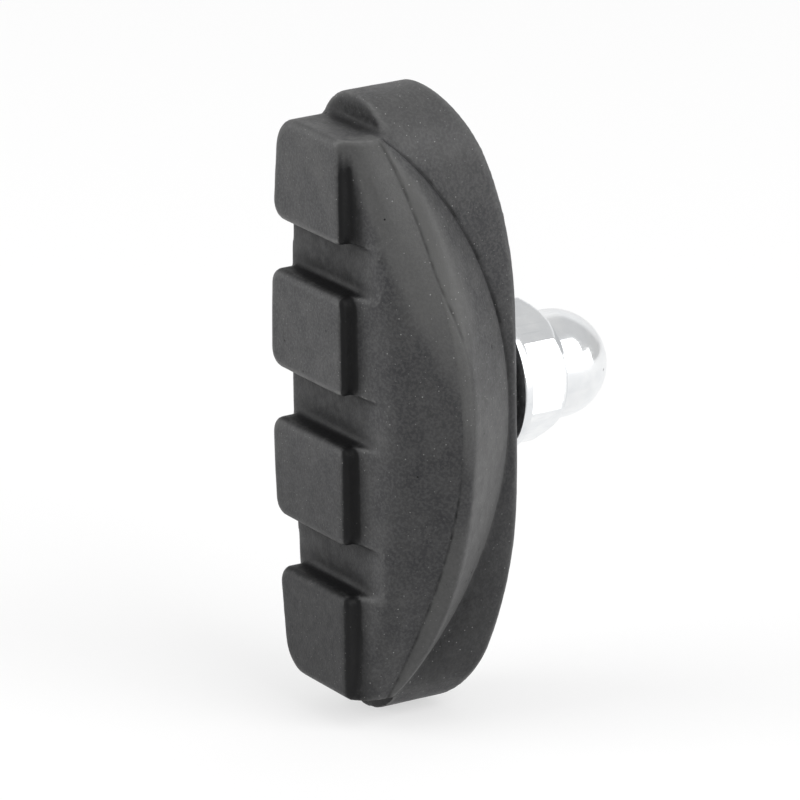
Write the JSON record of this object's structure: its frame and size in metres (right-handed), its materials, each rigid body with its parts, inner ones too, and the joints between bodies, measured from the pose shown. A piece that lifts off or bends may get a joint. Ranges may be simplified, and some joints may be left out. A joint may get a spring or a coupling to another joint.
{
  "type": "rim brake pad",
  "caption": "Moulded rubber bicycle brake block with raised friction lugs, swelling cheeks and an arched back, clamped by a threaded stud with a washer and a dome nut.",
  "frame": {"origin": "on the stud's axis, in the plane where the washer seats on the block's boss", "axes": "+Z along the block, up in the picture; +Y along the stud, away from the wheel rim; +X across the block, the side nearer the viewer in the picture"},
  "size_m": [0.0228, 0.026, 0.0502],
  "materials": {
    "rubber": "matt moulded black rubber",
    "plain_steel": "plain steel, hidden inside the block and the nut",
    "plated_steel": "bright plated steel"
  },
  "bodies": {
    "root": {"rubber_block": "rubber", "anchor_plate": "plain_steel", "threaded_stud": "plain_steel", "plain_washer": "plated_steel", "dome_nut": "plated_steel"}
  },
  "joints": []
}
